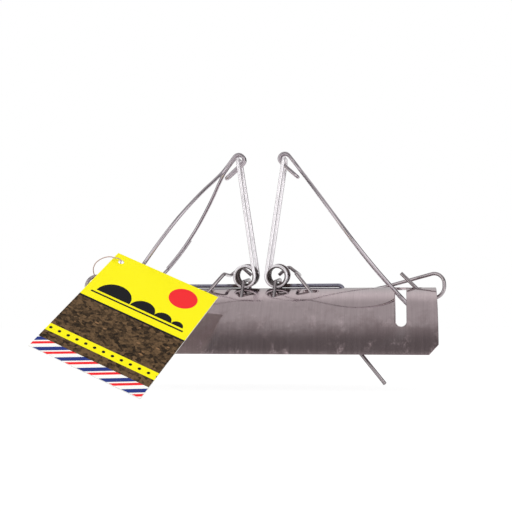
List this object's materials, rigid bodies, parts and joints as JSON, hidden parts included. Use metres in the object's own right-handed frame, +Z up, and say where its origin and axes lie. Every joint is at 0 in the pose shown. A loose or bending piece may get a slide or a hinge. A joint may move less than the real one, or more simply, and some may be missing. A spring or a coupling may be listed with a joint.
{
  "type": "mole trap",
  "caption": "Half-barrel tunnel trap with two sprung arm pairs, drop-down loops, trigger pins, retaining wires and a paper tag on a string.",
  "frame": {"origin": "middle of the barrel's front long edge, on its underside", "axes": "+X along the barrel, +Y from the front edge to the rear edge, +Z up"},
  "size_m": [0.1636, 0.1085, 0.1063],
  "materials": {
    "barrel_sheet": "fine vertical brushing, semi-bright",
    "spring_steel": "bright drawn wire",
    "loop_steel": "bright drawn wire",
    "pin_steel": "bright drawn wire, a little dulled",
    "tag_paper": "printed, coated",
    "tag_twine": "thin twisted twine"
  },
  "bodies": {
    "barrel_body": {"barrel": "barrel_sheet", "left_spring_front_coil": "spring_steel", "left_spring_rear_coil": "spring_steel", "left_spring_staple": "pin_steel", "right_spring_front_coil": "spring_steel", "right_spring_rear_coil": "spring_steel", "right_spring_staple": "pin_steel"},
    "left_arms": {"left_spring_arms": "spring_steel"},
    "left_loop": {"left_killing_loop": "loop_steel"},
    "left_trigger": {"left_trigger_pin": "pin_steel"},
    "left_retainer": {"left_retaining_wire": "pin_steel"},
    "right_arms": {"right_spring_arms": "spring_steel"},
    "right_loop": {"right_killing_loop": "loop_steel"},
    "right_trigger": {"right_trigger_pin": "pin_steel"},
    "right_retainer": {"right_retaining_wire": "pin_steel"},
    "tag": {"tag_card": "tag_paper", "tag_string": "tag_twine"}
  },
  "joints": [
    {"name": "left_arms_swing", "type": "hinge", "parent": "barrel_body", "child": "left_arms", "pos_m": [-0.0072, 0.02855, 0.0345], "axis": [0, -1, 0], "range_deg": [0, 70], "stiffness_Nm_per_rad": 0.1, "springref_deg": -17.19},
    {"name": "left_loop_swing", "type": "hinge", "parent": "left_arms", "child": "left_loop", "pos_m": [-0.0106, 0.02855, 0.0877], "axis": [0, -1, 0], "range_deg": [-36, 0]},
    {"name": "left_trigger_swing", "type": "hinge", "parent": "barrel_body", "child": "left_trigger", "pos_m": [-0.0232, 0.01855, 0.02674], "axis": [0, 1, 0], "range_deg": [-60, 8]},
    {"name": "left_retainer_lift", "type": "hinge", "parent": "barrel_body", "child": "left_retainer", "pos_m": [-0.0693, 0.02405, 0.0282], "axis": [0, -0.5931, -0.8051], "range_deg": [0, 25]},
    {"name": "right_arms_swing", "type": "hinge", "parent": "barrel_body", "child": "right_arms", "pos_m": [0.0072, 0.02855, 0.0345], "axis": [0, 1, 0], "range_deg": [0, 70], "stiffness_Nm_per_rad": 0.1, "springref_deg": -17.19},
    {"name": "right_loop_swing", "type": "hinge", "parent": "right_arms", "child": "right_loop", "pos_m": [0.0106, 0.02855, 0.0877], "axis": [0, 1, 0], "range_deg": [-36, 0]},
    {"name": "right_trigger_swing", "type": "hinge", "parent": "barrel_body", "child": "right_trigger", "pos_m": [0.0232, 0.01855, 0.02674], "axis": [0, -1, 0], "range_deg": [-60, 8]},
    {"name": "right_retainer_lift", "type": "hinge", "parent": "barrel_body", "child": "right_retainer", "pos_m": [0.0693, 0.02405, 0.0282], "axis": [0, 0.5931, 0.8051], "range_deg": [0, 25]},
    {"name": "tag_swing", "type": "hinge", "parent": "left_retainer", "child": "tag", "pos_m": [-0.0759, 0.0266, 0.0347], "axis": [-0.6, 0, -0.8], "range_deg": [0, 45]}
  ],
  "couplings": [
    {"joint": "left_loop_swing", "follows": "left_arms_swing", "ratio": -0.506},
    {"joint": "right_loop_swing", "follows": "right_arms_swing", "ratio": -0.506}
  ]
}
